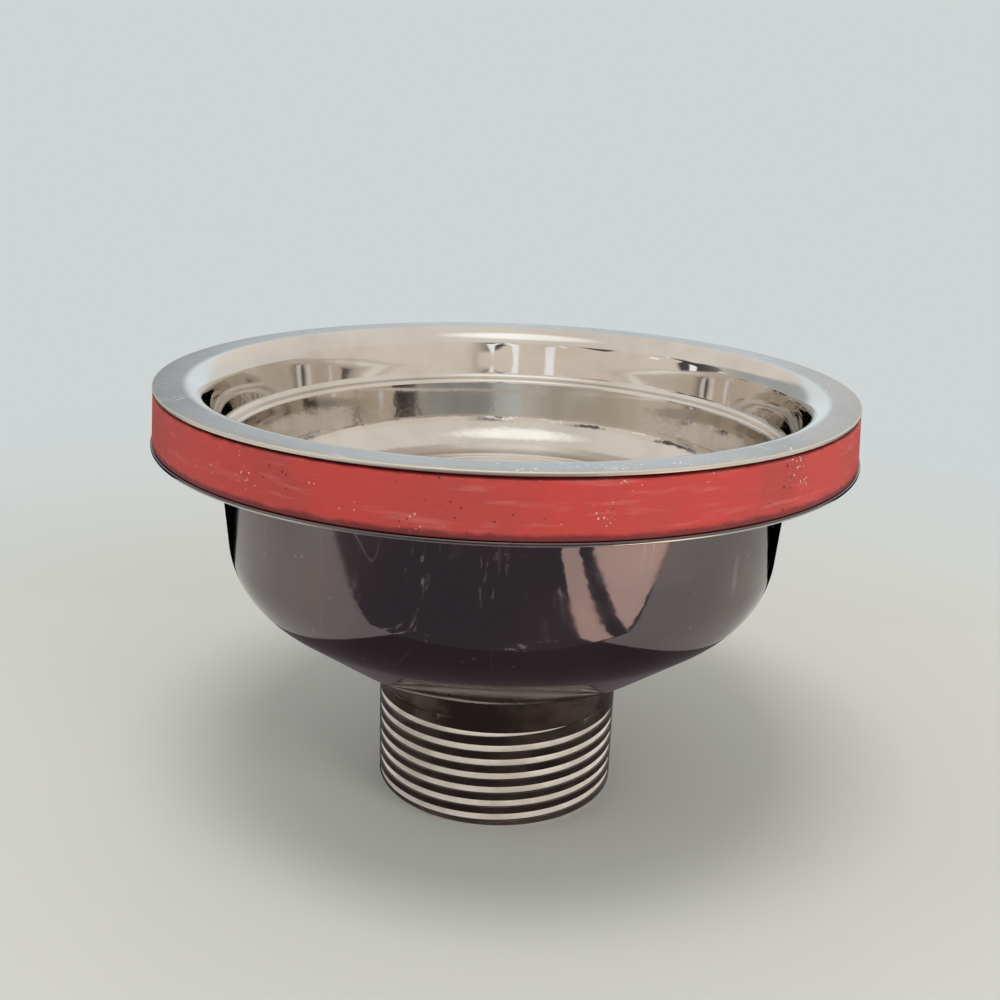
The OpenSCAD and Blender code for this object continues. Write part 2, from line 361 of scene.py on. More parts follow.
def dish_finish(look):
    """Satin flange with specks and scratches, bright throat, dimpled basin wall, worn floor."""
    f = Finish("Dish steel", 1.0)
    t = f.t
    radius, height = f.shared("Polar place")
    specks, scratches = f.shared("Specks and scratches", Specks_per_metre=1100.0,
                                 Speck_size=0.26, Scratch_turn=(0.0, 0.0, 0.5),
                                 Scratches_per_metre=700.0, Scratch_width=0.035)
    cross = f.shared("Specks and scratches", Scratch_turn=(0.0, 0.0, -0.9),
                     Scratches_per_metre=500.0, Scratch_width=0.03)[1]
    stains, dimples, swell = f.shared("Stains and dimples", Dimples_per_metre=900.0)

    # Where each area lies, in millimetres from the axis and from the floor
    flange = t.math("MULTIPLY", t.step(radius, 51.6, 52.9), t.step(height, 71.4, 72.2))
    sheared = t.math("MULTIPLY", t.step(radius, 56.98, 57.06), t.step(height, 71.9, 72.0))
    wall = t.math("MULTIPLY", t.band(radius, 38.5, 45.2, 0.8),
                  t.step(height, 61.8, 62.6, 1.0, 0.0))
    basin_floor = t.step(height, 49.8, 51.0, 1.0, 0.0)

    bright = t.blend(stains, opaque(look.dish_colour), opaque(look.dish_stain))
    satin = t.blend(t.step(t.noise(f.place, 30.0, 3.0), 0.35, 0.65),
                    opaque(look.flange_colour), opaque(look.flange_dull))
    colour = t.blend(flange, bright, satin)
    lines = t.math("MAXIMUM", scratches, cross)
    marks = t.math("MAXIMUM", specks, t.math("MULTIPLY", lines, 0.35))
    colour = t.blend(t.math("MULTIPLY", marks, flange), colour, grey(0.92))
    colour = t.blend(sheared, colour, (0.80, 0.72, 0.62, 1.0))
    rough = t.plus(0.04, flange, look.flange_roughness)
    for mask, share in ((wall, 0.07), (basin_floor, 0.10), (stains, 0.02)):
        rough = t.plus(rough, mask, share)
    normal = t.bump(swell, 0.00010, 0.5)
    peel = t.math("MULTIPLY", dimples, t.math("ADD", wall, 0.02))
    normal = t.bump(peel, 0.00006, 0.6, normal)
    normal = t.bump(t.math("MULTIPLY", lines, flange), 0.00002, 0.4, normal)
    f.feed(Base_Color=colour, Roughness=rough, Normal=normal)
    return f.material


def cup_finish(look):
    """Drawn steel with a painted reflection: its colour is dark for the dark surroundings it
    mirrors; near mirror, with haze, slow swells, fine marks and a pale sheared edge.
    """
    f = Finish("Cup steel", 1.0)
    t = f.t
    radius, height = f.shared("Polar place")
    specks, scratches = f.shared("Specks and scratches", Specks_per_metre=520.0,
                                 Speck_size=0.20, Scratch_stretch=(1.0, 1.0, 0.12),
                                 Scratches_per_metre=160.0, Scratch_width=0.008)
    stains, dimples, swell = f.shared("Stains and dimples", Dimples_per_metre=600.0)
    sheared = t.math("MULTIPLY", t.step(radius, 57.6, 57.7), t.band(height, 62.9, 63.25, 0.05))
    # Painted reflection: both the clear tone and the haze tone are dark to stand in for the dark
    # surroundings the cup mirrors
    colour = t.blend(stains, opaque(look.cup_painted_reflection), opaque(look.cup_haze_painted_dark))
    marks = t.math("MULTIPLY", t.math("MAXIMUM", specks, scratches), 0.35)
    colour = t.blend(marks, colour, (0.42, 0.38, 0.36, 1.0))
    colour = t.blend(sheared, colour, (0.62, 0.56, 0.50, 1.0))
    rough = t.plus(t.plus(look.cup_roughness, stains, 0.06), scratches, 0.15)
    normal = t.bump(dimples, 0.000015, 0.5, t.bump(swell, 0.00014, 0.6))
    f.feed(Base_Color=colour, Roughness=rough, Normal=normal)
    return f.material


def tail_finish(look):
    """Brown turned crests and neck, cut flanks painted pale as a highlight, a painted shadow line
    between them, fine tool rings.
    """
    f = Finish("Tail steel", 1.0)
    t = f.t
    radius = f.shared("Polar place")[0]
    scratches = f.shared("Specks and scratches", Scratch_stretch=(0.08, 0.08, 1.0),
                         Scratches_per_metre=420.0, Scratch_width=0.05)[1]
    stains = f.shared("Stains and dimples", Stains_per_metre=120.0)[0]
    skin = t.step(radius, 20.86, 20.92)
    cut = t.math("SUBTRACT", 1.0, skin)
    # Painted shadow: a near-black line on the flank just under each crest
    shadow_line = t.math("MULTIPLY", t.step(radius, 20.70, 20.76), cut)
    brown = t.blend(stains, opaque(look.crest_colour), opaque(look.crest_stain))
    brown = t.blend(t.math("MULTIPLY", scratches, 0.5), brown, (0.30, 0.25, 0.21, 1.0))
    # Painted highlight: the cut flanks are near white and partly diffuse for the light they mirror
    pale = t.blend(stains, opaque(look.flank_painted_sheen), (0.80, 0.74, 0.67, 1.0))
    colour = t.blend(shadow_line, t.blend(skin, pale, brown), (0.012, 0.010, 0.010, 1.0))
    rings = t.noise(t.scaled(f.place, (0.05, 0.05, 1.0)), 2600.0, 2.0, 0.6)
    f.feed(Base_Color=colour, Roughness=t.plus(t.plus(0.20, stains, 0.14), cut, 0.18),
           Metallic=t.plus(0.35, skin, 0.65), Normal=t.bump(rings, 0.00002, 0.6))
    return f.material


def rubber_finish(look):
    """Matt red rubber: tone drifts and smears round the ring, with dust, pits, and painted shade at
    its top and foot edges.
    """
    f = Finish("Red rubber", 0.0, specular=0.32)
    t = f.t
    level = f.shared("Polar place")[1]
    specks = f.shared("Specks and scratches", Specks_per_metre=1500.0, Speck_size=0.22)[0]
    stains, dimples, swell = f.shared("Stains and dimples", Stains_per_metre=60.0,
                                      Dimples_per_metre=1500.0)
    smears = t.step(t.noise(t.scaled(f.place, (0.12, 0.12, 1.0)), 1000.0, 2.0, 0.6), 0.52, 0.72)
    pits = t.math("LESS_THAN", t.add("ShaderNodeTexVoronoi", {"Vector": f.place, "Scale": 700.0}),
                  t.math("MULTIPLY", 0.16, stains))
    # Painted shade: the top under the flange's rim is darker, and so is the foot over the cup's
    # flange, partly shade and partly dirt in small nicks
    nicks = t.math("MULTIPLY", t.noise(f.place, 420.0, 3.0, 0.6), 1.1)
    foot = t.step(t.math("ADD", level, nicks), 64.7, 65.4, 1.0, 0.0)
    crown = t.step(t.math("SUBTRACT", level, nicks), 70.6, 71.4)
    edges = t.math("MAXIMUM", foot, crown)
    colour = t.blend(stains, opaque(look.rubber_colour), opaque(look.rubber_dull))
    for mask, share, tone in ((smears, 0.35, (0.60, 0.17, 0.15)),
                              (specks, 0.7, (0.66, 0.50, 0.44)),
                              (pits, 0.8, (0.07, 0.012, 0.012)),
                              (edges, 0.8, (0.10, 0.018, 0.018))):
        colour = t.blend(t.math("MULTIPLY", mask, share), colour, opaque(tone))
    height = t.plus(dimples, pits, -1.2)
    normal = t.bump(height, 0.00006, 0.5, t.bump(swell, 0.0003, 0.5))
    f.feed(Base_Color=colour, Roughness=t.plus(0.50, stains, 0.16), Normal=normal)
    return f.material


def plain_finish(name, colour, grain, roughness):
    """Rolled or turned steel with a grain that runs one way, stains and specks."""
    f = Finish(name, 1.0)
    t = f.t
    specks, scratches = f.shared("Specks and scratches", Specks_per_metre=700.0,
                                 Scratch_stretch=grain, Scratches_per_metre=500.0,
                                 Scratch_width=0.05)
    stains = f.shared("Stains and dimples", Stains_per_metre=150.0)[0]
    tone = t.blend(stains, opaque(colour), opaque(0.72 * c for c in colour))
    tone = t.blend(t.math("MULTIPLY", scratches, 0.4), tone, grey(0.75))
    normal = t.bump(t.plus(scratches, specks, 0.6), 0.00002, 0.5)
    f.feed(Base_Color=tone, Roughness=t.plus(roughness, stains, 0.12), Normal=normal)
    return f.material


# ---------------------------------------------------------------- what a user would change

def size(label, text, millimetres):
    """A length property whose default is given in millimetres."""
    return FloatProperty(name=label, description=text, default=millimetres * MM, unit="LENGTH",
                         precision=4)


def tint(label, text, colour):
    """A colour property."""
    return FloatVectorProperty(name=label, description=text, default=colour, size=3,
                               subtype="COLOR", min=0.0, max=1.0)


class SINKWASTE_PG_sizes(bpy.types.PropertyGroup):
    """Sizes of the pressed, moulded and turned pieces."""

    sheet: size("Sheet", "Thickness of the dish's and the cup's sheet", 0.6)
    flange: size("Flange radius", "Radius of the dish's flange", 57.15)
    flat: size("Flat radius", "Radius at which the flange turns down", 52.85)
    throat: size("Throat bend", "Inner radius of the bend into the throat", 3.4)
    ledge_drop: size("Ledge depth", "Depth of the ledge below the flange", 9.8)
    ledge: size("Ledge width", "Width of the ledge between the throat and the basin", 2.0)
    basin_depth: size("Basin depth", "Depth of the strainer floor below the flange", 23.0)
    basin_bend: size("Basin bend", "Radius between the basin's wall and floor", 7.0)
    hole: size("Hole radius", "Radius of a strainer hole", 2.3)
    washer_top: size("Washer top radius", "Outer radius of the washer at its top", 57.2)
    washer_foot: size("Washer foot radius", "Outer radius of the washer at its foot", 57.7)
    cup_flange: size("Cup flange radius", "Radius of the cup's flange", 57.85)
    thread: size("Thread radius", "Radius over the thread's crests", 20.955)
    pitch: size("Thread pitch", "Rise of the thread in one turn", 2.54)
    depth: size("Thread depth", "Depth of the thread's groove", 1.15)
    columns: IntProperty(name="Columns", description="Points round each turned piece",
                         default=240, min=60, max=480)


class SINKWASTE_PG_looks(bpy.types.PropertyGroup):
    """Colours and roughness of each finish."""

    dish_colour: tint("Dish", "Colour of the dish's bright steel", (0.70, 0.67, 0.63))
    dish_stain: tint("Dish stains", "Colour of its stains", (0.60, 0.56, 0.51))
    flange_colour: tint("Flange", "Colour of the satin flange", (0.50, 0.51, 0.52))
    flange_dull: tint("Flange dull", "Colour of its duller areas", (0.40, 0.41, 0.42))
    flange_roughness: FloatProperty(name="Flange roughness", default=0.26, min=0.0, max=1.0,
                                    description="Roughness that the satin flange adds")
    # Painted reflection: the cup's colour and its haze colour are dark for the dark surroundings it
    # mirrors
    cup_painted_reflection: tint("Cup", "Colour of the cup's dark steel", (0.155, 0.130, 0.142))
    cup_haze_painted_dark: tint("Cup haze", "Colour of its haze", (0.19, 0.155, 0.158))
    cup_roughness: FloatProperty(name="Cup roughness", default=0.045, min=0.0, max=1.0,
                                 description="Roughness of the cup's clear areas")
    crest_colour: tint("Tail", "Colour of the tail's neck and crests", (0.115, 0.088, 0.074))
    crest_stain: tint("Tail stains", "Colour of its stains", (0.17, 0.135, 0.115))
    # Painted highlight: the flanks' colour is near white for the light they mirror
    flank_painted_sheen: tint("Cut flanks", "Colour of the thread's cut flanks", (0.97, 0.92, 0.86))
    rubber_colour: tint("Rubber", "Colour of the washer", (0.50, 0.050, 0.042))
    rubber_dull: tint("Rubber dull", "Colour of its duller areas", (0.41, 0.056, 0.050))
    plain_colour: tint("Bridge steel", "Colour of the bridge, nut and screw", (0.55, 0.54, 0.52))


class SINKWASTE_PG_stage(bpy.types.PropertyGroup):
    """Camera, background and lamps."""

    lens: FloatProperty(name="Lens", description="Focal length in millimetres",
                        default=44.66, min=20.0, max=120.0)
    back: size("Camera distance", "How far in front of the axis the camera stands", 203.45)
    high: size("Camera height", "Height of the camera over the floor", 114.23)
    pitch: FloatProperty(name="Camera pitch", description="How far the camera looks down",
                         default=0.3003, subtype="ANGLE")
    yaw: FloatProperty(name="Camera yaw", description="How far the camera looks to the right",
                       default=-0.0028, subtype="ANGLE")
    roll: FloatProperty(name="Camera roll", description="How far the camera leans",
                        default=0.0337, subtype="ANGLE")
    floor: tint("Floor", "Colour of the floor", (0.584, 0.591, 0.558))
    backdrop: tint("Backdrop", "Colour behind the object", (0.624, 0.665, 0.665))
    sky: FloatProperty(name="Sky", description="Strength of the even light from all sides",
                       default=0.70, min=0.0, max=2.0)
    lamp: FloatProperty(name="Lamp", description="Power of the overhead lamp in watts",
                        default=3.0, min=0.0, max=50.0)


# ---------------------------------------------------------------- the pieces

def in_mm(group, *names):
    """Values of length properties in millimetres."""
    return [getattr(group, n) / MM for n in names]


def sheet_section(path, thickness, edge=0.15):
    """A sheet's section from its inner end under it, round its sheared edge and back on top.

    The path is the upper face from the outer edge inward, and the sheet lies on its left.
    """
    under = moved_left(path, thickness)
    r, top = path[0]
    low = arc((r - edge, top - thickness + edge), edge, -90, 0, 4)
    high = arc((r - edge, top - edge), edge, 0, 90, 4)
    return np.concatenate([under[:0:-1], low, high, path[1:]])


def throat_radii(s):
    """The throat's inner bend, the radii of its upper end, the ledge and the basin, the drop.

    The throat is a bend that turns down from the flat and a straight run that narrows to the
    ledge: upper end = flat - (throat + sheet) tan(turn / 2).
    """
    t, flat, throat, drop, ledge = in_mm(s, "sheet", "flat", "throat", "ledge_drop", "ledge")
    narrowing = 1.4
    upper = flat - (throat + t) * math.tan(math.atan2(drop, narrowing) / 2)
    return throat, upper, upper - narrowing, upper - narrowing - ledge, drop


def hole_cells(r, count, columns, pitch, hole, drawn, spun, sides=6):
    """The floor's cells round one circle of holes, as points and quads.

    A cell's border goes round its part of the circle. Each row of drawn is a share s, a distance
    out and a height: it lies at edge + s (border - edge), where the edge is hole + out from the
    hole's centre.
    """
    along, half = columns // count, math.pi / count
    a = np.linspace(-half, half, along + 1)
    rr = np.linspace(r - pitch / 2, r + pitch / 2, sides + 1)
    radii, turns = np.concatenate([
        np.stack([np.full(along, rr[0]), a[:-1]], -1),
        np.stack([rr[:-1], np.full(sides, half)], -1),
        np.stack([np.full(along, rr[-1]), a[:0:-1]], -1),
        np.stack([rr[:0:-1], np.full(sides, -half)], -1)]).T
    border = np.stack([radii * np.cos(turns), radii * np.sin(turns)], -1)
    way = border - [r, 0]
    way /= np.linalg.norm(way, axis=1)[:, None]
    share, out, height = (drawn[:, k][:, None, None] for k in range(3))
    edge = np.array([r, 0]) + way * (hole + out)
    cell = edge + (border - edge) * share
    spin = TURN * (np.arange(count) + spun) / count
    cos, sin = (wave[:, None, None] for wave in (np.cos(spin), np.sin(spin)))
    x = cell[..., 0] * cos - cell[..., 1] * sin
    y = cell[..., 0] * sin + cell[..., 1] * cos
    first = (np.arange(count) * len(drawn) * len(border))[:, None, None]
    quads = (grid_faces(len(drawn), len(border)) + first).reshape(-1, 4)
    return np.stack([x, y, height[..., 0] + 0 * x], -1), quads


def build_dish(s, look):
    """The dish: a turned sheet whose flat floor is made of cells, each round one hole.

    The pressed rings are a wave: z = floor + ring_h (1 - cos(turns)) / 2.
    """
    t, flange, depth, bend, hole = in_mm(s, "sheet", "flange", "basin_depth", "basin_bend",
                                         "hole")
    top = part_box("strainer_dish")[1].z / MM
    throat, upper, ledge_r, basin, drop = throat_radii(s)
    ledge, floor = top - drop, top - depth
    lean, ledge_bend, lip_bend = 1.5, 1.2, 0.25
    ring_r, ring_pitch, ring_count, ring_h, ring_steps = basin - lean - bend - 0.4, 2.0, 4, 0.25, 10
    seat_r, seat_drop, seat_bend, screw_r = 9.5, 2.0, 0.5, 3.3
    first_r, hole_pitch, counts = 13.5, 6.2, (10, 15, 20)
    outer_r = first_r + (len(counts) - 0.5) * hole_pitch
    inner_r = first_r - 0.5 * hole_pitch

    # The rim's face down to the floor, then the pressed rings as one wave
    rim = bent([(flange, top, 0), (upper, top, throat), (ledge_r, ledge, ledge_bend),
                (basin, ledge, lip_bend), (basin - lean, floor, bend), (ring_r, floor, 0)],
               t, steps=18)
    turns = np.arange(ring_count * ring_steps + 1) / ring_steps
    wave = np.stack([ring_r - turns * ring_pitch,
                     floor + ring_h * (1 - np.cos(TURN * turns)) / 2], -1)
    path = split_runs(np.concatenate([rim[:-1], wave, [[outer_r, floor]]]), longest=2.4)
    outer = sheet_section(path, t)

    # The sunk seat down to the screw's hole
    seat = floor - seat_drop
    bowl = split_runs(bent([(inner_r, floor, 0), (seat_r, floor, seat_bend),
                            (seat_r - seat_drop, seat, seat_bend), (screw_r, seat, 0)],
                           t, steps=6), longest=1.5)
    inner = np.concatenate([bowl, moved_left(bowl, t)[::-1]])
    patches = [(turned(part, s.columns), grid_faces(len(part), s.columns))
               for part in (outer, inner)]

    # A cell runs from its border to the hole's edge, down the punched wall and back below
    drawn = np.array([[1.0, 0, 0], [0.5, 0, 0], [0, 0.34, 0], [0, 0.12, -0.03], [0, 0.03, -0.09],
                      [0, 0, -0.2], [0, 0, -0.5], [0, 0.02, -t - 0.05], [0, 0.16, -t],
                      [0.5, 0, -t], [1.0, 0, -t]])
    drawn[:, 2] += floor
    for circle, count in enumerate(counts):
        patches.append(hole_cells(first_r + circle * hole_pitch, count, s.columns, hole_pitch,
                                  hole, drawn, circle / 2))
    piece("dish", "strainer_dish", patches, dish_finish(look))


def build_washer(s, look):
    """The washer: a turned section with soft moulded edges, a little uneven round the ring.

    The outer face is drawn in by the sum of three waves, swing (1 + sin(count a + lag)).
    """
    top_r, foot_r = in_mm(s, "washer_top", "washer_foot")
    low, high = (c.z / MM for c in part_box("rubber_washer"))
    bore, bevel, side, flat = 50.8, 1.8, 2.0, s.flat / MM
    # The squeezed upper edge leaves a narrow gap under the flange's rim
    soft, gap, lip, crown = 0.35, 0.42, top_r - 1.4, top_r - 1.8
    start = (bore, high - bevel - side, 0)
    section = split_runs(bent([
        start, (bore, low, 0.3), (foot_r, low, 0.25), (top_r, high - gap, soft),
        (lip, high - gap, 0.2), (crown, high, 0.2), (flat, high, 0.3),
        (bore, high - bevel, 0.3), start], steps=6)[:-1], longest=0.9)
    points = turned(section, s.columns)
    a = TURN * np.arange(s.columns) / s.columns
    waves = ((0.045, 3, 0.7), (0.03, 7, 2.1), (0.02, 17, 0.0))
    inward = sum(swing * (1 + np.sin(count * a + lag)) for swing, count, lag in waves)
    face_from = 56.0
    inward = np.clip(section[:, :1] - face_from, 0, 1) * inward
    points[..., 0] -= inward * np.cos(a)
    points[..., 1] -= inward * np.sin(a)
    piece("washer", "rubber_washer",
          [(points, grid_faces(len(section), s.columns, close_rows=True))],
          rubber_finish(look), sharp=50)


def build_cup(s, look):
    """The cup: one turned sheet from its flange through the stepped mouth to the outlet.

    The mouth follows the dish's ledge and basin at a small gap. Below it the wall leans in to a
    round knuckle, and a cone falls from there to the flat ring round the outlet.
    """
    t, flange = in_mm(s, "sheet", "cup_flange")
    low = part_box("cup")[0].z / MM + t
    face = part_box("cup")[1].z / MM
    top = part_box("strainer_dish")[1].z / MM
    ledge_r, basin, drop = throat_radii(s)[2:]
    gap, lean, knuckle, slope = 0.3, 1.7, 13.4, math.radians(36.7)
    ring_r, ring_bend, outlet = 29.3, 2.4, 19.8
    step_r, step_z, wall = ledge_r + t + gap, top - drop - t - gap, basin + t + gap
    foot = wall - lean
    # ring_r is a corner of the outer face, and the path follows the inner one
    inset = t * math.tan(slope / 2)
    cone_z = low + (foot - ring_r + inset) * math.tan(slope)
    path = split_runs(bent([(flange, face, 0), (step_r, face, 0.5), (step_r, step_z, 0.3),
                            (wall, step_z, 0.6), (foot, cone_z, knuckle),
                            (ring_r - inset, low, ring_bend), (outlet, low, 0)],
                           t, steps=16), longest=2.4)
    section = sheet_section(path, t)
    shell = turned(section, s.columns), grid_faces(len(section), s.columns, close_rows=True)
    piece("cup_shell", "cup", [shell], cup_finish(look))


def groove_share(turns, last=7.3, fade=1.41, lean=0.5, side=0.58):
    """How much of its depth the groove has: all of it, then less over its run-out.

    share = (last - turns) / fade + lean cos(turns - side), held between 0 and 1. The die sat a
    little off the axis, so one side of the run-out is cut deeper.
    """
    return np.clip((last - turns) / fade + lean * np.cos(TURN * (turns - side)), 0, 1)


def build_tail(s, look):
    """The tail: a height field r(a, z) whose rows follow one right-hand V groove.

    Groove k lies at z = start + pitch (k + a / turn), and is cut share depth - d / tan(27.5
    degrees) deep, where d is the distance from it, rounded at the bottom. The rows of each turn
    run on into the rows of the next where the grid closes, and rows past the ends fall together
    there.
    """
    radius, pitch, depth = in_mm(s, "thread", "pitch", "depth")
    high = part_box("cup")[0].z / MM
    bevel, start, soft, slope = 0.7, 0.2, 0.1, math.tan(math.radians(27.5))
    columns, grooves = 256, range(-2, 13)
    a = TURN * np.arange(columns) / columns
    turn = a / TURN

    def height_field(z):
        """Radius at each column for heights z, as the deepest cut of all turns of the groove."""
        cut = np.zeros(np.broadcast(z, turn).shape)
        for k in grooves:
            near = np.sqrt((z - start - pitch * (k + turn)) ** 2 + soft ** 2) - soft / 2
            cut = np.maximum(cut, groove_share(k + turn) * depth - near / slope)
        return np.minimum(radius - cut, radius - bevel + z)

    def round_axis(r, z):
        """Points at radii r and heights z: x = r cos a, y = r sin a."""
        return np.stack([r * np.cos(a), r * np.sin(a), z + 0 * r], -1)

    # Rows across each groove, closer together where it is shallow, and on the crest above it
    across = (0.05, 0.12, 0.22, 0.34, 0.46, 0.60, 0.68)
    across = [-o for o in across[::-1]] + [0.0] + list(across)
    crest, least = (0.42, 0.56), 0.15
    rows = []
    for k in grooves:
        share = np.maximum(groove_share(k + turn), least)
        middle = start + pitch * (k + turn)
        rows += [middle + o * share for o in across] + [middle + pitch * c for c in crest]
    z = np.clip(np.array(rows), bevel, high)

    # Rows meet the next turn's rows where the columns close
    each, last = len(across) + len(crest), columns - 1
    i = np.arange(len(rows) - 1)[:, None]
    j = np.arange(last)[None]
    quads = np.stack([i * columns + j, i * columns + j + 1, (i + 1) * columns + j + 1,
                      (i + 1) * columns + j], -1).reshape(-1, 4)
    i = np.arange(len(rows) - 1 - each)
    seam = np.stack([i * columns + last, (i + each) * columns, (i + each + 1) * columns,
                     (i + 1) * columns + last], -1)
    patches = [(round_axis(height_field(z), z), np.concatenate([quads, seam]))]

    # The bevelled end, in level rows up to the bevel's top
    level = np.linspace(0, bevel, 9)[:, None]
    end = round_axis(height_field(level), level)
    patches.append((end, grid_faces(len(end), columns)))

    # End face, bore, mouth, rolled rim, spigot and shoulder
    bore, mouth, spigot, rim, rim_t = 18.5, 0.3, 19.6, 21.8, 0.8
    floor = high + s.sheet / MM
    chain = split_runs(bent([(bore + mouth, 0, 0), (bore, mouth, 0), (bore, floor + rim_t, 0.7),
                             (rim, floor + rim_t, 0.4), (rim, floor, 0), (spigot, floor, 0),
                             (spigot, high, 0), (radius, high, 0)], steps=8), longest=4.0)
    points = np.concatenate([end[:1], turned(chain, columns)])
    patches.append((points, grid_faces(len(points), columns)))
    piece("tail", "threaded_tail", patches, tail_finish(look), sharp=30)


# ---------------------------------------------------------------- the stage

# Cards just over the floor: near and far corner in metres, colour, strength, brightness of their
# streaks and height in metres
CARDS = {
    # near_card is a dark sheet round the base for the floor's shade there: painted shade that only
    # the metal mirrors
    "near_card": ((-0.055, -0.083), (0.055, 0.05), (0.13, 0.11, 0.115), 1.0, 0.0, 0.0015),
    "front_card": ((-0.14, -0.50), (0.14, -0.083), (0.17, 0.16, 0.17), 1.0, 0.9, 0.0015),
    "back_card_left": ((-0.30, 0.075), (-0.045, 0.40), (0.0, 0.0, 0.0), 1.0, 0.0, 0.0015),
    "back_card_right": ((0.045, 0.075), (0.30, 0.40), (0.0, 0.0, 0.0), 1.0, 0.0, 0.0015),
    # warm_card and warm_slip glow as a painted pool of window light on the floor in front, which
    # only the metal mirrors
    "warm_card": ((0.078, -0.150), (0.150, -0.085), (1.0, 0.80, 0.66), 1.9, 0.0, 0.0018),
    "warm_slip": ((0.050, -0.150), (0.066, -0.085), (1.0, 0.80, 0.66), 1.7, 0.0, 0.0018),
}

# Soft lamps: place, the point they face, width and height in metres, share of the lamp's power
# and colour
LAMPS = {
    "overhead": ((-0.05, -0.22, 0.90), (0, 0, 0.05), 0.35, 0.22, 1.0, (1.0, 0.99, 0.97)),
    "window": ((-0.60, -0.15, 0.50), (0, 0, 0.06), 0.25, 0.35, 0.2, (0.86, 0.93, 1.0)),
    "fill": ((0.65, -0.55, 0.30), (0, 0, 0.04), 0.45, 0.35, 0.9, (1.0, 0.97, 0.93)),
}


def build_floor(stage):
    """A pale round floor that turns into the backdrop's colour with distance.

    Its rings are turned round a centre point, each a fixed factor wider than the one inside.
    """
    rings, columns, inner, reach = 11, 96, 0.1, 4.0
    r = np.geomspace(inner, reach, rings)
    points = turned(np.stack([r, 0 * r], -1), columns).reshape(-1, 3)
    j = np.arange(columns)
    fan = np.stack([0 * j, 1 + j, 1 + (j + 1) % columns], -1)
    quads = 1 + grid_faces(rings, columns)
    mesh = bpy.data.meshes.new("floor")
    mesh.from_pydata([(0, 0, 0)] + points.tolist(), [], quads.tolist() + fan.tolist())
    floor = bpy.data.objects.new("floor", mesh)
    bpy.context.scene.collection.objects.link(floor)
    f = Finish("Floor", 0.0, specular=0.2)
    t = f.t
    backdrop = opaque(stage.backdrop)
    far = t.step(f.shared("Polar place")[0], 110.0, 330.0)
    f.feed(Base_Color=t.blend(far, opaque(stage.floor), backdrop), Roughness=0.85)
    # Far off, the camera and the metal see the backdrop's plain colour
    path = t.tree.nodes.new("ShaderNodeLightPath").outputs
    seen = t.math("MAXIMUM", path["Is Camera Ray"], path["Is Glossy Ray"])
    glow = t.add("ShaderNodeEmission", {"Color": backdrop, "Strength": 1.0})
    f.show(t.add("ShaderNodeMixShader",
                 {0: t.math("MULTIPLY", far, seen), 1: f.shader.outputs[0], 2: glow}))
    mesh.materials.append(f.material)


def area_lamp(name, place, target, width, height, power, colour):
    """A soft rectangular lamp at a place, turned to a target, that metal doesn't mirror."""
    data = bpy.data.lights.new(name, "AREA")
    data.shape = "RECTANGLE"
    data.size, data.size_y = width, height
    data.energy, data.color = power, colour
    lamp = bpy.data.objects.new(name, data)
    lamp.visible_glossy = False
    way = (Vector(target) - Vector(place)).to_track_quat("-Z", "Y")
    lamp.matrix_world = Matrix.Translation(place) @ way.to_matrix().to_4x4()
    bpy.context.scene.collection.objects.link(lamp)


def mirrored_room(t):
    """The room that metal shows, as a colour for each direction.

    Warm walls in front with a few dark and light places, a cool pale wall behind, and a pale
    ceiling with one soft white lamp.
    """
    way = t.add("ShaderNodeTexCoord", out="Generated")
    parts = t.tree.nodes.new("ShaderNodeSeparateXYZ")
    t.tree.links.new(way, parts.inputs[0])
    x, y, z = parts.outputs
    dark = t.step(t.noise(way, 2.6, 1.0), 0.56, 0.60)
    light = t.step(t.noise(t.scaled(way, (2.4, 2.4, 0.8)), 2.9, 1.0), 0.62, 0.65)
    front = t.blend(dark, (0.84, 0.75, 0.66, 1.0), (0.09, 0.075, 0.075, 1.0))
    front = t.blend(light, front, (1.15, 1.15, 1.2, 1.0))
    front = t.blend(t.step(x, 0.05, 0.35), front, (0.84, 0.77, 0.68, 1.0))
    back = t.blend(t.step(x, -0.30, -0.08), (0.46, 0.49, 0.50, 1.0), (0.82, 0.90, 0.94, 1.0))
    back = t.blend(t.step(x, 0.15, 0.30), back, (0.80, 0.78, 0.74, 1.0))
    walls = t.blend(t.step(y, -0.05, 0.45), front, back)
    room = t.blend(t.step(z, 0.34, 0.46), walls, (0.86, 0.81, 0.75, 1.0))
    to_lamp = t.add("ShaderNodeVectorMath", {0: way, 1: unit(np.array([-0.06, -0.38, 0.92]))},
                    out="Value", operation="DOT_PRODUCT")
    return t.blend(t.step(to_lamp, 0.90, 0.985), room, (1.35, 1.35, 1.32, 1.0))


def light_scene(scene, stage):
    """An even sky, three soft lamps, the backdrop for the camera and a room for metal."""
    world = bpy.data.worlds.new("Even light")
    world.use_nodes = True
    tree = world.node_tree
    tree.nodes.clear()
    t = Tree(tree)
    path = tree.nodes.new("ShaderNodeLightPath").outputs
    seen, lit, shown = (t.add("ShaderNodeBackground", {"Color": colour, "Strength": strength})
                        for colour, strength in ((opaque(stage.backdrop), 1.0),
                                                 ((1.0, 0.985, 0.96, 1.0), stage.sky),
                                                 (mirrored_room(t), 1.0)))
    lit = t.add("ShaderNodeMixShader", {0: path["Is Glossy Ray"], 1: lit, 2: shown})
    mixed = t.add("ShaderNodeMixShader", {0: path["Is Camera Ray"], 1: lit, 2: seen})
    end = tree.nodes.new("ShaderNodeOutputWorld")
    tree.links.new(mixed, end.inputs[0])
    scene.world = world
    for name, (place, target, width, height, share, colour) in LAMPS.items():
        area_lamp(name, place, target, width, height, share * stage.lamp, colour)


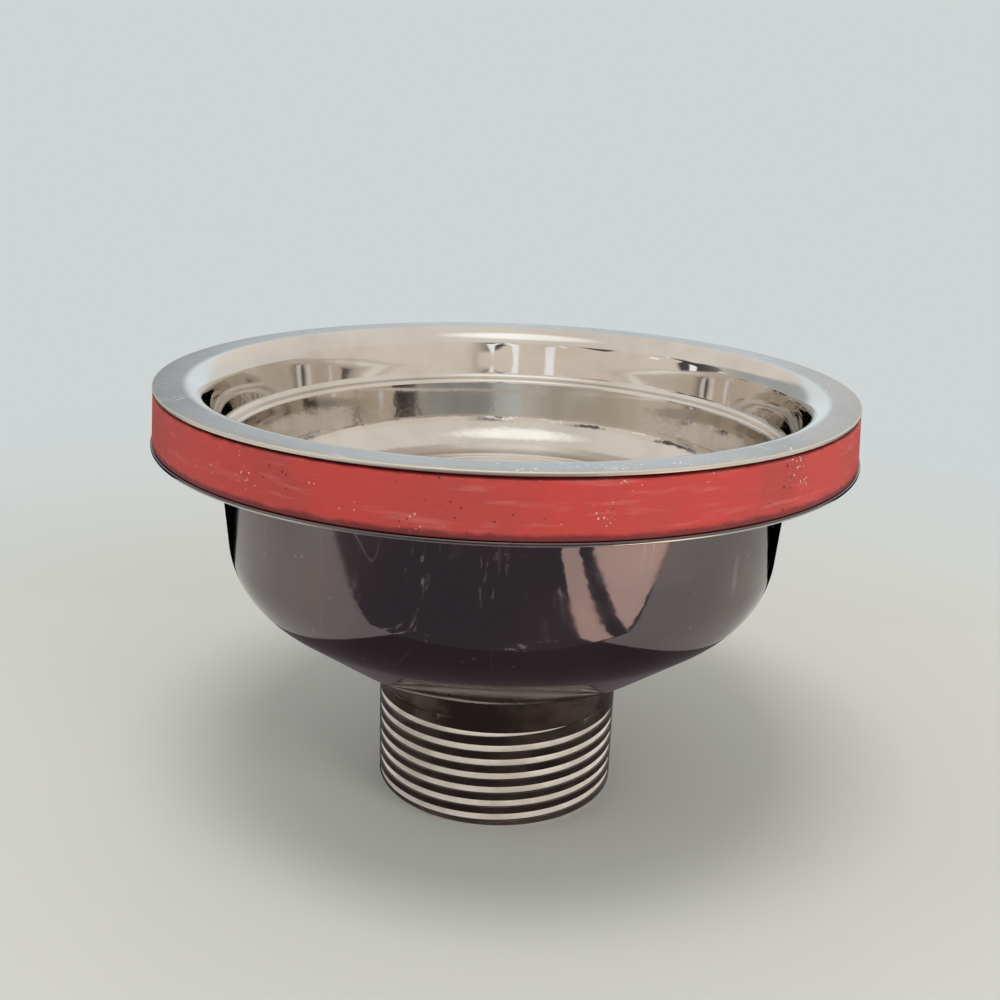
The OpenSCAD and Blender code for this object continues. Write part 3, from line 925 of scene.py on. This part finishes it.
def place_camera(scene, stage):
    """The camera at the photograph's angle, from its pitch, yaw and roll."""
    p, w, r = stage.pitch, stage.yaw, stage.roll
    ahead = Vector((math.sin(w) * math.cos(p), math.cos(w) * math.cos(p), -math.sin(p)))
    right = ahead.cross(Vector((0, 0, 1))).normalized()
    up = right.cross(ahead)
    x = math.cos(r) * right + math.sin(r) * up
    y = -math.sin(r) * right + math.cos(r) * up
    turn = Matrix((x, y, -ahead)).transposed().to_4x4()
    data = bpy.data.cameras.new("camera")
    data.sensor_width, data.lens = 36.0, stage.lens
    data.clip_start, data.clip_end = 0.005, 20.0
    camera = bpy.data.objects.new("camera", data)
    camera.matrix_world = Matrix.Translation((0, -stage.back, stage.high)) @ turn
    scene.collection.objects.link(camera)
    scene.camera = camera
    scene.view_settings.view_transform = "Standard"


def card(name, low, far, colour, strength, streaks, z):
    """A level card just over the floor that only mirrored rays see."""
    (x0, y0), (x1, y1) = low, far
    mesh = bpy.data.meshes.new(name)
    mesh.from_pydata([(x0, y0, z), (x1, y0, z), (x1, y1, z), (x0, y1, z)], [], [(0, 1, 2, 3)])
    obj = bpy.data.objects.new(name, mesh)
    bpy.context.scene.collection.objects.link(obj)
    for kind in ("camera", "diffuse", "transmission", "volume_scatter", "shadow"):
        setattr(obj, "visible_" + kind, False)
    f = Finish(name, 0.0)
    t = f.t
    tone = opaque(colour)
    if streaks:
        marks = t.noise(t.scaled(f.place, (1.0, 0.25, 1.0)), 260.0, 3.0, 0.6, 0.6)
        places = t.step(t.noise(f.place, 22.0), 0.45, 0.55)
        marks = t.math("MULTIPLY", t.step(marks, 0.60, 0.66), places)
        tone = t.blend(marks, tone, grey(streaks))
    f.show(t.add("ShaderNodeEmission", {"Color": tone, "Strength": strength}))
    mesh.materials.append(f.material)


# ---------------------------------------------------------------- operators and panel

class SINKWASTE_OT_dish(bpy.types.Operator):
    """Build the strainer dish with its punched holes and pressed rings"""
    bl_idname = "sinkwaste.dish"
    bl_label = "Strainer dish"

    def execute(self, context):
        build_dish(context.scene.sinkwaste_sizes, context.scene.sinkwaste_looks)
        return {"FINISHED"}


class SINKWASTE_OT_washer(bpy.types.Operator):
    """Build the red rubber washer"""
    bl_idname = "sinkwaste.washer"
    bl_label = "Rubber washer"

    def execute(self, context):
        build_washer(context.scene.sinkwaste_sizes, context.scene.sinkwaste_looks)
        return {"FINISHED"}


class SINKWASTE_OT_cup(bpy.types.Operator):
    """Build the deep drawn cup"""
    bl_idname = "sinkwaste.cup"
    bl_label = "Cup"

    def execute(self, context):
        build_cup(context.scene.sinkwaste_sizes, context.scene.sinkwaste_looks)
        return {"FINISHED"}


class SINKWASTE_OT_tail(bpy.types.Operator):
    """Build the tail with its helical thread"""
    bl_idname = "sinkwaste.tail"
    bl_label = "Threaded tail"

    def execute(self, context):
        build_tail(context.scene.sinkwaste_sizes, context.scene.sinkwaste_looks)
        return {"FINISHED"}


class SINKWASTE_OT_fixings(bpy.types.Operator):
    """Give the bridge, its nut and the centre screw their finishes"""
    bl_idname = "sinkwaste.fixings"
    bl_label = "Bridge, nut and screw"

    def execute(self, context):
        colour = tuple(context.scene.sinkwaste_looks.plain_colour)
        for node, grain, rough in (("bridge", (0.06, 1.0, 1.0), 0.26),
                                   ("bridge_nut", (1.0, 1.0, 0.1), 0.34),
                                   ("centre_screw", (0.5, 0.5, 1.0), 0.22)):
            finish = plain_finish(node.replace("_", " ").capitalize() + " steel", colour, grain,
                                  rough)
            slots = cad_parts[node].material_slots
            if not slots:
                raise RuntimeError(f"{node} has no material slot")
            for slot in slots:
                slot.material = finish
        return {"FINISHED"}


class SINKWASTE_OT_stage(bpy.types.Operator):
    """Set the floor, background, lamps, cards and camera"""
    bl_idname = "sinkwaste.stage"
    bl_label = "Stage"

    def execute(self, context):
        stage = context.scene.sinkwaste_stage
        build_floor(stage)
        light_scene(context.scene, stage)
        for name, values in CARDS.items():
            card(name, *values)
        place_camera(context.scene, stage)
        return {"FINISHED"}


class SINKWASTE_PT_panel(bpy.types.Panel):
    """Lists the pieces and the stage"""
    bl_idname = "SINKWASTE_PT_panel"
    bl_label = "Sink waste"
    bl_space_type = "VIEW_3D"
    bl_region_type = "UI"
    bl_category = "Sink waste"

    def draw(self, context):
        for name in STEPS:
            self.layout.operator("sinkwaste." + name)
        for group in ("sizes", "looks", "stage"):
            box = self.layout.box()
            settings = getattr(context.scene, "sinkwaste_" + group)
            for key in settings.bl_rna.properties.keys():
                if key not in ("rna_type", "name"):
                    box.prop(settings, key)


GROUPS = {"sizes": SINKWASTE_PG_sizes, "looks": SINKWASTE_PG_looks, "stage": SINKWASTE_PG_stage}
STEPS = ("dish", "washer", "cup", "tail", "fixings", "stage")
CLASSES = (*GROUPS.values(), SINKWASTE_OT_dish, SINKWASTE_OT_washer, SINKWASTE_OT_cup,
           SINKWASTE_OT_tail, SINKWASTE_OT_fixings, SINKWASTE_OT_stage, SINKWASTE_PT_panel)


def register():
    """Makes the settings, operators and panel known."""
    for each in CLASSES:
        bpy.utils.register_class(each)
    for name, group in GROUPS.items():
        setattr(bpy.types.Scene, "sinkwaste_" + name, PointerProperty(type=group))


def unregister():
    """Takes them away again."""
    for name in GROUPS:
        delattr(bpy.types.Scene, "sinkwaste_" + name)
    for each in reversed(CLASSES):
        bpy.utils.unregister_class(each)


def main():
    """Builds every piece and the stage."""
    register()
    for name in STEPS:
        getattr(bpy.ops.sinkwaste, name)()
    bpy.context.view_layer.update()


if __name__ == "__main__":
    main()
